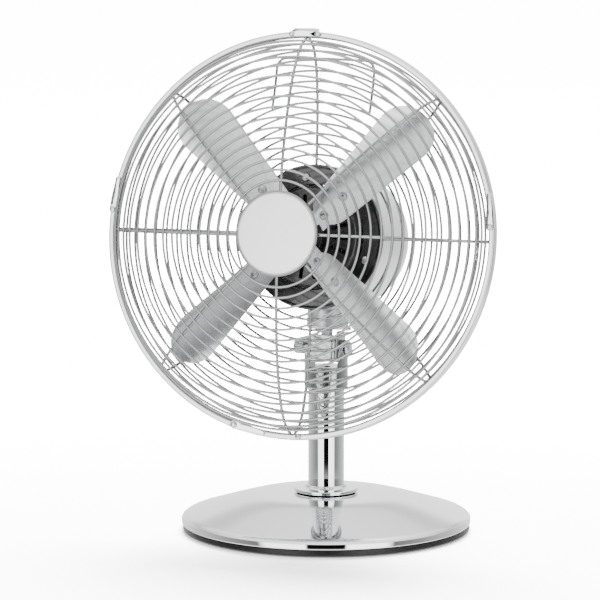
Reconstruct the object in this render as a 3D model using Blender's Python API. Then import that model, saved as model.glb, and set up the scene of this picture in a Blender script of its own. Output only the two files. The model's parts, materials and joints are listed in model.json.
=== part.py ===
"""A 300 mm desk fan: spun steel base, chromed column, tilting and oscillating head, wire guards.

Sizes are in millimetres; build_mesh turns them into metres. The origin is on the floor under the
column, +Z is up and the fan blows towards -Y. The head hangs from three empties: tilt_axis (the
hinge at the top of the column), swivel_axis (the upright oscillation axis) and fan_axis, whose
local frame has x to the right, y up and z forward along the motor shaft.
"""
import math

import bmesh
import bpy
from mathutils import Vector

METRES_PER_MM = 0.001
GAP = 0.3

# Driving dimensions of the stand
BASE_RADIUS = 124.6
DOME_CROWN = 34.2
DOME_BEND = 61.0
DOME_ROUND = 15.0
DOME_SLOPE = 0.32
SHELL_WALL = 1.0
WEIGHT_RADIUS = 104.0
GLAND_HEIGHT = 7.6
COLUMN_RADIUS = 15.6
COLUMN_FOOT = 34.4
COLUMN_TOP = 124.0
FORK_RADIUS = 18.9
TILT_HEIGHT = 159.6
EAR_RADIUS = 7.5
PIN_RADIUS = 3.9

# Driving dimensions of the head
HEAD_TILT = 9.15
AXIS_HEIGHT = 93.6
RIM_FORWARD = 81.7
GUARD_RADIUS = 167.0
BAND_RADIUS = 172.6
FRONT_DEPTH = 57.5
REAR_DEPTH = 35.7
MOTOR_RADIUS = 62.0
STACK_REAR = 14.0
STACK_FRONT = 30.0
STATOR_RADIUS = 41.6
ROTOR_RADIUS = 24.0
SHAFT_RADIUS = 4.0
BLADE_TIP = 150.0
BLADE_COUNT = 4
BLADE_ANGLE = 45.5

# Oscillation drive, in plan: the crank turns about a point behind the swivel axis
SWING = 35.0
CRANK_BACK = 30.0
LINK_OFFSET = 10.6
LINK_BACK = 4.0
LINK_LOW = 11.8
LINK_HIGH = 14.4

CHROME = ("chrome", (0.78, 0.79, 0.80), 1.0, 0.08)
BRUSHED = ("brushed_aluminium", (0.72, 0.73, 0.74), 1.0, 0.32)
SILVER = ("silver_paint", (0.66, 0.67, 0.68), 0.7, 0.35)
BLACK = ("black_plastic", (0.02, 0.02, 0.02), 0.0, 0.4)
IRON = ("cast_iron", (0.12, 0.12, 0.12), 0.6, 0.7)
STEEL = ("zinc_steel", (0.55, 0.56, 0.58), 1.0, 0.3)
COPPER = ("enamelled_copper", (0.55, 0.22, 0.08), 1.0, 0.35)
NYLON = ("gear_nylon", (0.80, 0.79, 0.74), 0.0, 0.5)


def clear_scene():
    for old in list(bpy.data.objects):
        bpy.data.objects.remove(old, do_unlink=True)


def material(finish):
    name, colour, metallic, roughness = finish
    found = bpy.data.materials.get(name)
    if found:
        return found
    made = bpy.data.materials.new(name)
    made.use_nodes = True
    shader = made.node_tree.nodes["Principled BSDF"]
    shader.inputs["Base Color"].default_value = (*colour, 1.0)
    shader.inputs["Metallic"].default_value = metallic
    shader.inputs["Roughness"].default_value = roughness
    return made


def build_mesh(name, points, faces, smooth_angle=35.0):
    mesh = bpy.data.meshes.new(name)
    mesh.from_pydata([Vector(point) * METRES_PER_MM for point in points], [], faces)
    work = bmesh.new()
    work.from_mesh(mesh)
    bmesh.ops.recalc_face_normals(work, faces=work.faces[:])
    work.to_mesh(mesh)
    work.free()
    mesh.shade_smooth()
    mesh.set_sharp_from_angle(angle=math.radians(smooth_angle))
    return mesh


def place(name, shape, finish, parent=None, location=(0, 0, 0), rotation=(0, 0, 0)):
    """Add one named solid; location is in millimetres and rotation in degrees, in the parent's frame."""
    points, faces = shape
    made = bpy.data.objects.new(name, build_mesh(name, points, faces))
    made.data.materials.append(material(finish))
    bpy.context.collection.objects.link(made)
    made.parent = parent
    made.location = Vector(location) * METRES_PER_MM
    made.rotation_euler = [math.radians(angle) for angle in rotation]
    return made


def axis_empty(name, parent=None, location=(0, 0, 0), rotation=(0, 0, 0)):
    made = bpy.data.objects.new(name, None)
    bpy.context.collection.objects.link(made)
    made.parent = parent
    made.location = Vector(location) * METRES_PER_MM
    made.rotation_euler = [math.radians(angle) for angle in rotation]
    return made


def cut(target, shape, operation="DIFFERENCE", location=(0, 0, 0), rotation=(0, 0, 0)):
    """Boolean one shape from or onto a placed solid, in that solid's own frame."""
    tool = place(target.name + "_cutter", shape, STEEL, target, location, rotation)
    tool.hide_render = True
    tool.display_type = "WIRE"
    step = target.modifiers.new("Boolean", "BOOLEAN")
    step.operation = operation
    step.solver = "EXACT"
    step.object = tool


def lathe(profile, segments=24):
    """Turn a closed outline of (radius, height) corners about z; corners on the axis become poles."""
    points, rings, faces = [], [], []
    for radius, height in profile:
        if radius == 0:
            points.append((0, 0, height))
            rings.append([len(points) - 1] * segments)
            continue
        start = len(points)
        for k in range(segments):
            angle = 2 * math.pi * k / segments
            points.append((radius * math.cos(angle), radius * math.sin(angle), height))
        rings.append(list(range(start, start + segments)))
    for ring, following in zip(rings, rings[1:] + rings[:1]):
        for k in range(segments):
            corner = (ring[k], ring[(k + 1) % segments], following[(k + 1) % segments], following[k])
            distinct = list(dict.fromkeys(corner))
            if len(distinct) > 2:
                faces.append(distinct)
    return points, faces


def tube_wall(outer, inner, low, high, segments=24):
    return lathe([(inner, low), (outer, low), (outer, high), (inner, high)], segments)


def rod(radius, low, high, segments=16):
    return lathe([(0, low), (radius, low), (radius, high), (0, high)], segments)


def prism(outline, low, high):
    """Extrude a flat outline of (x, y) corners from low to high along z."""
    count = len(outline)
    points = [(x, y, low) for x, y in outline] + [(x, y, high) for x, y in outline]
    faces = [list(range(count)), list(range(2 * count - 1, count - 1, -1))]
    for k in range(count):
        after = (k + 1) % count
        faces.append([k, after, count + after, count + k])
    return points, faces


def block(half_x, half_y, low, high):
    return prism([(-half_x, -half_y), (half_x, -half_y), (half_x, half_y), (-half_x, half_y)], low, high)


def ring_prism(outer, inner, low, high):
    """Extrude the strip between two outlines with the same number of corners."""
    count = len(outer)
    corners = ((outer, low), (outer, high), (inner, high), (inner, low))
    points = [(x, y, z) for loop, z in corners for x, y in loop]
    faces = []
    for level in range(4):
        following = (level + 1) % 4
        for k in range(count):
            after = (k + 1) % count
            faces.append([level * count + k, level * count + after,
                          following * count + after, following * count + k])
    return points, faces


def circle(radius, count, centre=(0, 0), start=0.0, sweep=360.0):
    """Corners on an arc; a full turn leaves out the repeated last corner."""
    steps = count if sweep == 360.0 else count - 1
    return [(centre[0] + radius * math.cos(math.radians(start + sweep * k / steps)),
             centre[1] + radius * math.sin(math.radians(start + sweep * k / steps)))
            for k in range(count)]


def hex_nut(corner_radius, bore, low, high):
    outer = []
    for k in range(12):
        reach = corner_radius if k % 2 == 0 else corner_radius * math.cos(math.pi / 6)
        outer.append((reach * math.cos(math.pi * k / 6), reach * math.sin(math.pi * k / 6)))
    return ring_prism(outer, circle(bore, 12), low, high)


def gear(teeth, tip, root, bore, low, high):
    outer, inner = [], []
    for k in range(2 * teeth):
        angle = math.pi * k / teeth
        reach = tip if k % 2 == 0 else root
        outer.append((reach * math.cos(angle), reach * math.sin(angle)))
        inner.append((bore * math.cos(angle), bore * math.sin(angle)))
    return ring_prism(outer, inner, low, high)


def bar(length, radius, low, high, ends=8):
    """A flat bar with round ends, from the origin along +x."""
    outline = circle(radius, ends, (0, 0), 90, 180) + circle(radius, ends, (length, 0), -90, 180)
    return prism(outline, low, high)


def wire(path, radius, sides=8):
    """Sweep a round section along a smooth path and cap both ends."""
    points, faces = [], []
    spots = [Vector(spot) for spot in path]
    normal = None
    for k, spot in enumerate(spots):
        heading = (spots[min(k + 1, len(spots) - 1)] - spots[max(k - 1, 0)]).normalized()
        if normal is None:
            normal = heading.orthogonal().normalized()
        normal = (normal - heading * normal.dot(heading)).normalized()
        side = heading.cross(normal)
        for s in range(sides):
            angle = 2 * math.pi * s / sides
            points.append(spot + radius * (math.cos(angle) * normal + math.sin(angle) * side))
    for k in range(len(spots) - 1):
        for s in range(sides):
            after = (s + 1) % sides
            faces.append([k * sides + s, k * sides + after, (k + 1) * sides + after, (k + 1) * sides + s])
    last = (len(spots) - 1) * sides
    faces.append(list(range(sides)))
    faces.append(list(range(last + sides - 1, last - 1, -1)))
    return points, faces


# Guards: concentric rings and eight spokes, welded into one lattice

SPOKES = 8
LIP_RADIUS = 167.9
CHORDS = 2
RING_WIRE = 2.0
SPOKE_WIRE = 2.4
RIM_WIRE = 3.5
RIM_HALF_DEPTH = 1.6
RIM_OFFSET = 2.05
RIM_CENTRE = 168.8


def front_depth(radius):
    """How far the domed front guard stands ahead of the joint with the rear guard."""
    return FRONT_DEPTH * (1 - (radius / GUARD_RADIUS) ** 2.1) ** (1 / 2.2)


def rear_depth(radius):
    """The rear guard is a flatter dish behind the joint."""
    return -REAR_DEPTH * (1 - (radius / GUARD_RADIUS) ** 4.0) ** (1 / 2.5)


def guard_sections(radii, depth):
    """Each ring's four corners (radius, height), turned to lie along the dome."""
    sections = []
    for radius in radii:
        slope = (depth(radius + 0.4) - depth(radius - 0.4)) / 0.8
        along = Vector((1.0, slope)).normalized()
        across = Vector((-along.y, along.x))
        centre = Vector((radius, depth(radius)))
        half_width = RING_WIRE / 2
        sections.append([centre - along * half_width + across, centre + along * half_width + across,
                         centre + along * half_width - across, centre - along * half_width - across])
    side = math.copysign(1.0, depth(0.0))
    middle = side * RIM_OFFSET
    near, far = RIM_CENTRE - RIM_WIRE / 2, RIM_CENTRE + RIM_WIRE / 2
    sections.append([Vector((near, middle + RIM_HALF_DEPTH)), Vector((far, middle + RIM_HALF_DEPTH)),
                     Vector((far, middle - RIM_HALF_DEPTH)), Vector((near, middle - RIM_HALF_DEPTH))])
    return sections


def guard(radii, depth):
    sections = guard_sections(radii, depth)
    per_sector = CHORDS + 1
    count = SPOKES * per_sector
    points = []

    def angle_at(step, radius):
        sector, place_in_sector = divmod(step, per_sector)
        half_spoke = math.asin(SPOKE_WIRE / 2 / radius)
        start = 2 * math.pi * sector / SPOKES + half_spoke
        width = 2 * math.pi / SPOKES - 2 * half_spoke
        return start + width * place_in_sector / CHORDS

    index = {}
    for ring, section in enumerate(sections):
        for corner, spot in enumerate(section):
            for step in range(count):
                angle = angle_at(step, spot.x)
                index[ring, corner, step] = len(points)
                points.append((spot.x * math.cos(angle), spot.x * math.sin(angle), spot.y))

    faces = []

    def quad(a, b, c, d):
        faces.append([index[a], index[b], index[c], index[d]])

    last = len(sections) - 1
    for ring in range(last + 1):
        for step in range(count):
            after = (step + 1) % count
            on_spoke = step % per_sector == CHORDS
            quad((ring, 0, step), (ring, 0, after), (ring, 1, after), (ring, 1, step))
            quad((ring, 3, step), (ring, 2, step), (ring, 2, after), (ring, 3, after))
            if ring == 0 or not on_spoke:
                quad((ring, 0, step), (ring, 3, step), (ring, 3, after), (ring, 0, after))
            if ring == last or not on_spoke:
                quad((ring, 1, step), (ring, 1, after), (ring, 2, after), (ring, 2, step))
            if ring < last and on_spoke:
                quad((ring, 1, step), (ring, 1, after), (ring + 1, 0, after), (ring + 1, 0, step))
                quad((ring, 2, step), (ring + 1, 3, step), (ring + 1, 3, after), (ring, 2, after))
                quad((ring, 1, step), (ring + 1, 0, step), (ring + 1, 3, step), (ring, 2, step))
                quad((ring, 1, after), (ring, 2, after), (ring + 1, 3, after), (ring + 1, 0, after))
    return points, faces


# Fan blades: bent sheet riveted to the spider's arms

BLADE_ROOT = 22.0
BLADE_THICKNESS = 1.0
ARM_TIP = 57.0
ROOT_PITCH = 30.0
TIP_PITCH = 20.0
CAMBER = 5.0


def blade_pitch(reach):
    share = (reach - BLADE_ROOT) / (BLADE_TIP - BLADE_ROOT)
    return math.radians(ROOT_PITCH + (TIP_PITCH - ROOT_PITCH) * share)


def blade_half_width(reach):
    """Rounded root, flanks that widen outwards, and a broad rounded tip."""
    share = (reach - BLADE_ROOT) / (BLADE_TIP - BLADE_ROOT)
    flank = 15.0 + 12.5 * share
    root_round = math.sqrt(max(0.0, 1 - max(0.0, 1 - share / 0.12) ** 2))
    tip_round = math.sqrt(max(0.0, 1 - max(0.0, (share - 0.78) / 0.22) ** 2))
    return flank * min(root_round, tip_round)


def sheet_point(reach, across, offset):
    """A place on the twisted, cambered blade surface, offset along the shaft."""
    pitch = blade_pitch(reach)
    bow = CAMBER * (1 - (across / 27.0) ** 2)
    return (reach, across * math.cos(pitch) - bow * math.sin(pitch),
            across * math.sin(pitch) + bow * math.cos(pitch) + offset)


def sheet_solid(reaches, half_width, columns, low, high):
    """A closed sheet between two offsets over a list of radial stations."""
    points, faces = [], []
    across_count = columns + 1
    for offset in (low, high):
        for reach in reaches:
            for column in range(across_count):
                share = 2 * column / columns - 1
                points.append(sheet_point(reach, half_width(reach) * share, offset))
    layer = len(reaches) * across_count

    def at(level, row, column):
        return level * layer + row * across_count + column

    for row in range(len(reaches) - 1):
        for column in range(columns):
            faces.append([at(1, row, column), at(1, row + 1, column),
                          at(1, row + 1, column + 1), at(1, row, column + 1)])
            faces.append([at(0, row, column), at(0, row, column + 1),
                          at(0, row + 1, column + 1), at(0, row + 1, column)])
    edge = [(row, 0) for row in range(len(reaches))]
    edge += [(len(reaches) - 1, column) for column in range(1, across_count)]
    edge += [(row, columns) for row in range(len(reaches) - 2, -1, -1)]
    edge += [(0, column) for column in range(columns - 1, 0, -1)]
    for here, after in zip(edge, edge[1:] + edge[:1]):
        faces.append([at(0, *here), at(0, *after), at(1, *after), at(1, *here)])
    return points, faces


def dome_height(radius):
    """The spun base: nearly flat in the middle, then a steady slope, with a soft bend between them."""
    past_bend = radius - DOME_BEND
    return DOME_CROWN - DOME_SLOPE * (math.hypot(past_bend, DOME_ROUND) + past_bend) / 2


def build_base():
    place("base_bottom_cover", lathe([(0, 0), (122, 0), (124.2, 2.2), (123.8, 6.5), (114, 6.5), (112, 2.2),
                                      (0, 2.2)], 40), BLACK)
    stations = [4.6, 34, 48, 56, 63, 71, 82, 100, 122]
    top = [(radius, dome_height(radius)) for radius in stations]
    inner_bead = BASE_RADIUS - SHELL_WALL
    bead = [(BASE_RADIUS - 0.8, 13.4), (BASE_RADIUS, 11.6), (BASE_RADIUS, 6.9), (inner_bead, 6.9),
            (inner_bead, 11.4)]
    under = [(radius, height - SHELL_WALL) for radius, height in reversed(top)]
    place("base_shell", lathe(top + bead + under, 40), CHROME)
    place("base_weight", tube_wall(WEIGHT_RADIUS, 5, 9, 12.2, 32), IRON)
    place("draw_nut", hex_nut(8.5, 4.2, 2.8, 8.6), STEEL)
    place("draw_rod", rod(3.8, 3.0, 116.0, 12), STEEL)
    bore = COLUMN_RADIUS + GAP
    saucer = [(bore, COLUMN_FOOT), (27, COLUMN_FOOT), (28.1, 35.6), (27.7, 37.4), (25.2, 37.6), (18.6, 38.4),
              (17.4, 40.4), (bore, 40.6)]
    place("base_collar", lathe(saucer, 32), CHROME)
    place("column_tube", tube_wall(COLUMN_RADIUS, 14.1, COLUMN_FOOT, COLUMN_TOP, 28), CHROME)
    gland = lathe([(2.6, -3), (7.2, -3), (7.2, 0), (5.2, 1.2), (4.6, 12), (2.6, 12)], 16)
    place("cord_gland", gland, BLACK, None, (0, BASE_RADIUS + 3 + GAP, GLAND_HEIGHT), (-90, 0, 0))


def build_fork():
    sleeve = lathe([(4.2, 112), (13.8, 112), (13.8, COLUMN_TOP + GAP), (FORK_RADIUS, COLUMN_TOP + GAP),
                    (FORK_RADIUS, 143), (4.2, 143)], 24)
    fork = place("tilt_fork", sleeve, CHROME)
    rounded_end = [(z, y) for y, z in circle(EAR_RADIUS, 9, (0, TILT_HEIGHT), 0, 180)]
    upright = [(130.0, -13.0), (130.0, 13.0), (143.0, 13.0)] + rounded_end + [(143.0, -13.0)]
    for inner in (14.3, -18.6):
        cut(fork, prism(upright, inner, inner + 4.3), "UNION", (0, 0, 0), (0, -90, 180))
    cut(fork, rod(PIN_RADIUS + GAP, -30, 30), "DIFFERENCE", (0, 0, TILT_HEIGHT), (0, 90, 0))
    bolt = lathe([(0, -24.6), (PIN_RADIUS, -24.6), (PIN_RADIUS, 19.0), (6.4, 19.0), (6.4, 21.6), (5.4, 22.4),
                  (0, 22.4)], 16)
    place("tilt_pin", bolt, STEEL, None, (0, 0, TILT_HEIGHT), (0, 90, 0))
    thumb = lathe([(4.2, 0), (6.2, 0), (6.6, 1.2), (6.6, 8.2), (5.6, 9.4), (0, 9.4), (0, 6), (4.2, 6)], 20)
    place("tilt_knob", thumb, CHROME, None, (-19.0, 0, TILT_HEIGHT), (0, -90, 0))


def link_geometry():
    """Crank radius, link length and the crank's rest angle for the stated swing each way."""
    half = math.radians(SWING)
    pin_reach = math.hypot(LINK_OFFSET, LINK_BACK)
    middle = CRANK_BACK ** 2 + pin_reach ** 2 - 2 * CRANK_BACK * LINK_BACK * math.cos(half)
    spread = 2 * CRANK_BACK * LINK_OFFSET * math.sin(half)
    longest, shortest = math.sqrt(middle + spread), math.sqrt(middle - spread)
    crank, length = (longest - shortest) / 2, (longest + shortest) / 2
    across, back = -LINK_OFFSET, CRANK_BACK - LINK_BACK
    reach = math.hypot(across, back)
    turn = math.acos((length ** 2 - crank ** 2 - reach ** 2) / (2 * crank * reach))
    return crank, length, math.atan2(back, across) - turn


def build_yoke(tilt_axis):
    yoke = place("tilt_yoke", block(13.9, 12.0, -12.3, 11.0), CHROME, tilt_axis)
    cut(yoke, rod(PIN_RADIUS + GAP, -30, 30), "DIFFERENCE", (0, 0, 0), (0, 90, 0))
    cut(yoke, rod(5.3, 5.2, 20))
    cut(yoke, rod(2.3, 5.2, 20, 12), "DIFFERENCE", (LINK_OFFSET, LINK_BACK, 0))
    place("swivel_pin", rod(5.0, 5.6, 30.4), STEEL, tilt_axis)
    place("link_pin", rod(2.0, 5.6, 15.1, 12), STEEL, tilt_axis, (LINK_OFFSET, LINK_BACK, 0))
    crank, length, rest = link_geometry()
    pin_x, pin_y = crank * math.cos(rest), CRANK_BACK + crank * math.sin(rest)
    heading = math.degrees(math.atan2(pin_y - LINK_BACK, pin_x - LINK_OFFSET))
    link = place("oscillation_link", bar(length, 3.4, LINK_LOW, LINK_HIGH), STEEL, tilt_axis,
                 (LINK_OFFSET, LINK_BACK, 0), (0, 0, heading))
    cut(link, rod(2.3, 5, 20, 12))
    cut(link, rod(2.3, 5, 20, 12), "DIFFERENCE", (length, 0, 0))


COVER_END = 62.0
COVER_PROFILE = [(MOTOR_RADIUS, 44.4), (MOTOR_RADIUS, -18), (59.5, -30), (52.5, -42), (42, -52), (28, -59),
                 (8, -COVER_END)]
COVER_WALL = 1.0
CRANK_ARM_LOW = 15.6
KNOB_BACK = 40.0


def build_motor(swivel_axis, fan_axis):
    housing = place("swivel_housing", tube_wall(18.0, 5.4, 15.5, 42.0, 24), SILVER, swivel_axis)
    cut(housing, rod(MOTOR_RADIUS + GAP, -80, 80, 64), "DIFFERENCE", (0, 0, AXIS_HEIGHT), (90, 0, 0))
    inside = [(radius - COVER_WALL, height + COVER_WALL * 0.6) for radius, height in COVER_PROFILE[1:-1]]
    front_lip = [(MOTOR_RADIUS - COVER_WALL, 43.2), (50.0, 43.2), (50.0, 44.4)]
    cover_outline = COVER_PROFILE + [(8, COVER_WALL - COVER_END)] + inside[::-1] + front_lip
    cover = place("motor_cover", lathe(cover_outline, 32), SILVER, fan_axis)
    cut(cover, rod(5.5, -80, -20, 16), "DIFFERENCE", (0, 0, -CRANK_BACK), (-90, 0, 0))
    cut(cover, rod(4.0, 20, 90, 16), "DIFFERENCE", (0, 0, -KNOB_BACK), (-90, 0, 0))
    rolled_disc = lathe([(45, 47.5), (MOTOR_RADIUS, 47.5), (MOTOR_RADIUS, 50.6), (60.4, 50.6), (59.4, 49.6),
                         (45, 49.6)], 32)
    plate = place("guard_plate", rolled_disc, BLACK, fan_axis)
    for number, angle in enumerate((100, 220, 340), 1):
        x, y = 51.2 * math.cos(math.radians(angle)), 51.2 * math.sin(math.radians(angle))
        cut(plate, rod(1.9, 40, 60, 8), "DIFFERENCE", (x, y, 0))
        place(f"plate_screw_{number}", lathe([(0, 45.2), (1.5, 45.2), (1.5, 50.0), (3.4, 50.0), (3.2, 51.4),
                                              (2.0, 52.2), (0, 52.4)], 12), STEEL, fan_axis, (x, y, 0))
    front_bell = lathe([(5.2, 66.5), (11, 66.5), (13, 62.5), (41, 56.8), (44, 52.5), (44, 22),
                        (42.6, 22), (42.6, 51.8), (40, 55.4), (8, 60.0), (8, 64.9), (5.2, 64.9)], 28)
    place("motor_front_bell", front_bell, BLACK, fan_axis)
    rear_bell = lathe([(44, 21.6), (44, 3), (41, -0.5), (8, -0.8), (8, 7), (10.5, 7),
                       (12, 0.8), (40.4, 1.2), (42.6, 4.0), (42.6, 21.6)], 24)
    place("motor_rear_bell", rear_bell, SILVER, fan_axis)
    laminations = tube_wall(STATOR_RADIUS, ROTOR_RADIUS + 0.6, STACK_REAR, STACK_FRONT, 24)
    place("stator_core", laminations, IRON, fan_axis)
    place("winding_front", tube_wall(37, 28.5, STACK_FRONT + 0.4, 39, 20), COPPER, fan_axis)
    place("winding_rear", tube_wall(37, 28.5, 5.4, STACK_REAR - 0.4, 20), COPPER, fan_axis)
    for name, low, high in (("front_bearing", 57, 64.5), ("rear_bearing", -0.4, 6.6)):
        place(name, tube_wall(7.7, SHAFT_RADIUS + GAP, low, high, 20), STEEL, fan_axis)
    place("speed_switch", lathe([(0, -50.6), (13, -50.6), (13, -59.2), (6.5, -59.8), (3.0, -59.8),
                                 (3.0, -71), (0, -71)], 20), BLACK, fan_axis)
    place("speed_knob", lathe([(3.4, -62.8), (15, -62.8), (15.6, -64.2), (14.6, -75.6), (13.2, -77),
                               (0, -77), (0, -71.6), (3.4, -71.6)], 24), BLACK, fan_axis)
    pull_knob = lathe([(0, 12.4), (3, 12.4), (3, 57.4), (6, 57.4), (6.3, 58.2), (6, 61), (5, 61.8),
                       (0, 61.8)], 16)
    place("oscillation_knob", pull_knob, BLACK, fan_axis, (0, 0, -KNOB_BACK), (-90, 0, 0))


WHEEL_TEETH = 24
WHEEL_TIP = 9.0
WORM_TIP = 5.2
PINION_TIP = 2.9
OUTPUT_TIP = 17.0
WHEEL_SIDE = WORM_TIP + WHEEL_TIP + GAP
GEARBOX_HALF = 14.0


def build_gearbox(swivel_axis, fan_axis):
    outline = [(-28, -GEARBOX_HALF), (22, -GEARBOX_HALF), (22, GEARBOX_HALF), (-28, GEARBOX_HALF)]
    box = place("gearbox_housing", prism(outline, -48.5, -1.4), SILVER, fan_axis)
    chamber = [(-26.4, -12.4), (20.4, -12.4), (20.4, 12.4), (-26.4, 12.4)]
    cut(box, prism(chamber, -60, -3.0))
    cut(box, rod(SHAFT_RADIUS + 0.5, -10, 10, 16))
    cut(box, rod(3.0, -20, -8, 12), "DIFFERENCE", (0, 0, -CRANK_BACK), (-90, 0, 0))
    cut(box, rod(3.6, 8, 20, 12), "DIFFERENCE", (0, 0, -KNOB_BACK), (-90, 0, 0))
    place("gearbox_cover", prism(outline, -50.3, -48.8), SILVER, fan_axis)
    drop = math.sqrt((PINION_TIP + OUTPUT_TIP + GAP) ** 2 - WHEEL_SIDE ** 2)
    idler_spot = (-WHEEL_SIDE, CRANK_BACK - drop, AXIS_HEIGHT)
    wheel = gear(WHEEL_TEETH, WHEEL_TIP, 8.2, 1.0, -3.5, 3.5)
    idler = place("idler_gear", wheel, NYLON, swivel_axis, idler_spot)
    cut(idler, rod(PINION_TIP, -11.0, 0.0, 12), "UNION")
    cut(idler, rod(2.0, -20, 20, 12))
    place("idler_shaft", rod(1.7, -11.2, 11.2, 12), STEEL, swivel_axis, idler_spot)
    crank, _, rest = link_geometry()
    centre = (0, CRANK_BACK, AXIS_HEIGHT)
    place("output_gear", gear(36, OUTPUT_TIP, 16.0, 2.9, -10.6, -7.0), NYLON, swivel_axis, centre)
    place("output_shaft", rod(2.5, CRANK_ARM_LOW + 3.2 - AXIS_HEIGHT, -6.0, 12), STEEL, swivel_axis, centre)
    arm = place("crank_arm", bar(crank, 4.4, CRANK_ARM_LOW, CRANK_ARM_LOW + 2.9), STEEL, swivel_axis,
                (0, CRANK_BACK, 0), (0, 0, math.degrees(rest)))
    cut(arm, rod(1.9, LINK_HIGH + 0.4, CRANK_ARM_LOW + 1, 12), "UNION", (crank, 0, 0))


def build_rotor(fan_axis):
    place("motor_shaft", rod(SHAFT_RADIUS, -19, 93, 16), STEEL, fan_axis)
    laminations = tube_wall(ROTOR_RADIUS, SHAFT_RADIUS + GAP, STACK_REAR, STACK_FRONT, 24)
    place("rotor_core", laminations, IRON, fan_axis)
    place("worm", tube_wall(WORM_TIP, SHAFT_RADIUS + GAP, -18.5, -5, 16), STEEL, fan_axis)
    hub = lathe([(4.3, 70), (12, 70), (12, 80), (20, RIM_FORWARD - 0.8), (20, RIM_FORWARD + 0.8), (12, 84.6),
                 (4.3, 84.6)], 24)
    spider = place("hub_spider", hub, BRUSHED, fan_axis)
    arm_reaches = [14 + (ARM_TIP - 14) * k / 4 for k in range(5)]
    arm = sheet_solid(arm_reaches, lambda reach: 9.5 if reach < ARM_TIP else 7.0, 4, -2.2, -0.9)
    reaches = [BLADE_ROOT + 0.4, 25, 30, 38, 60, 85, 108, 122, 133, 142, 147.5, BLADE_TIP - 0.3]
    blade = sheet_solid(reaches, blade_half_width, 6, -BLADE_THICKNESS / 2, BLADE_THICKNESS / 2)
    for number in range(BLADE_COUNT):
        angle = BLADE_ANGLE + 360.0 * number / BLADE_COUNT
        cut(spider, arm, "UNION", (0, 0, RIM_FORWARD), (0, 0, angle))
        place(f"blade_{number + 1}", blade, BRUSHED, fan_axis, (0, 0, RIM_FORWARD), (0, 0, angle))
    place("hub_nut", hex_nut(8.0, SHAFT_RADIUS + 0.5, 85.0, 91.5), STEEL, fan_axis)


def build_guards(fan_axis):
    pitch = 8.87
    front_rings = [32.0] + [44.6 + pitch * k for k in range(12)] + [149.6, 156.0, 160.9, 164.2]
    rear_rings = [57.0] + [70.4 + pitch * k for k in range(10)] + [157.6, 163.2]
    joint = (0, 0, RIM_FORWARD)
    place("front_guard", guard(front_rings, front_depth), CHROME, fan_axis, joint)
    place("rear_guard", guard(rear_rings, rear_depth), CHROME, fan_axis, joint)
    place("trim_band", lathe([(BAND_RADIUS, -5.2), (BAND_RADIUS, 5.2), (LIP_RADIUS, 5.2), (LIP_RADIUS, 4.2),
                              (171.3, 4.2), (171.3, -4.2), (LIP_RADIUS, -4.2), (LIP_RADIUS, -5.2)], 56),
          CHROME, fan_axis, joint)
    disc = lathe([(0, 140.0), (34.6, 140.0), (36, 140.6), (36, 141.6), (35, 142.2), (0, 142.6)], 28)
    place("badge", disc, BRUSHED, fan_axis)
    corner = circle(9.0, 5, (35.0, 143.0), 0, 90)
    handle = [(44, 113, 46.2), (44, 128, 43.4)] + [(x, y, 40.6) for x, y in corner]
    handle += [(-x, y, z) for x, y, z in reversed(handle)]
    place("carry_handle", wire(handle, 1.6), CHROME, fan_axis)


FACE = 5.5
LATCH_RADIUS = 169.6


def rim_spot(angle):
    """A place on the trim band's face, at an angle in degrees from the right."""
    turn = math.radians(angle)
    return (LATCH_RADIUS * math.cos(turn), LATCH_RADIUS * math.sin(turn), RIM_FORWARD)


def build_clips(fan_axis):
    """Sheet clips on the face of the band; each swings about its rivet, and the top one is fixed."""
    joint = (0, 0, RIM_FORWARD)
    tongue = [(-13, 168.2), (13, 168.2), (13, 172.2), (9, 175.4), (-9, 175.4), (-13, 172.2)]
    top = prism(tongue, FACE, FACE + 1.2)
    top_clip = place("top_clip", top, CHROME, fan_axis, joint, (0, 0, 1.2))
    cut(top_clip, prism([(-9, 174.0), (9, 174.0), (9, 175.4), (-9, 175.4)], -6, FACE + 0.6), "UNION")
    latches = (("right_latch", 5.0, 95.0), ("left_latch", 175.0, 83.0), ("bottom_latch", 253.4, -12.0))
    for name, angle, turn in latches:
        spot = rim_spot(angle)
        leaf = place(name, bar(25.0, 3.6, FACE, FACE + 1.2, 6), CHROME, fan_axis, spot, (0, 0, turn))
        cut(leaf, rod(1.6, 0, 20, 12))
        rivet = lathe([(0, FACE + 0.2), (1.3, FACE + 0.2), (1.3, FACE + 1.5), (3.0, FACE + 1.5),
                       (2.4, FACE + 2.8), (0, FACE + 3.4)], 12)
        place(name + "_rivet", rivet, STEEL, fan_axis, spot)
    screw_head = lathe([(0, FACE), (2.6, FACE), (2.4, FACE + 1.4), (0, FACE + 2.0)], 12)
    place("band_screw", screw_head, STEEL, fan_axis, rim_spot(273.2))


clear_scene()
tilt_axis = axis_empty("tilt_axis", None, (0, 0, TILT_HEIGHT), (-HEAD_TILT, 0, 0))
swivel_axis = axis_empty("swivel_axis", tilt_axis)
fan_axis = axis_empty("fan_axis", swivel_axis, (0, 0, AXIS_HEIGHT), (90, 0, 0))
build_base()
build_fork()
build_yoke(tilt_axis)
build_motor(swivel_axis, fan_axis)
build_gearbox(swivel_axis, fan_axis)
build_rotor(fan_axis)
build_guards(fan_axis)
build_clips(fan_axis)
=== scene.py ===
import bpy
import bmesh
import json
import math
from mathutils import Matrix, Vector


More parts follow.
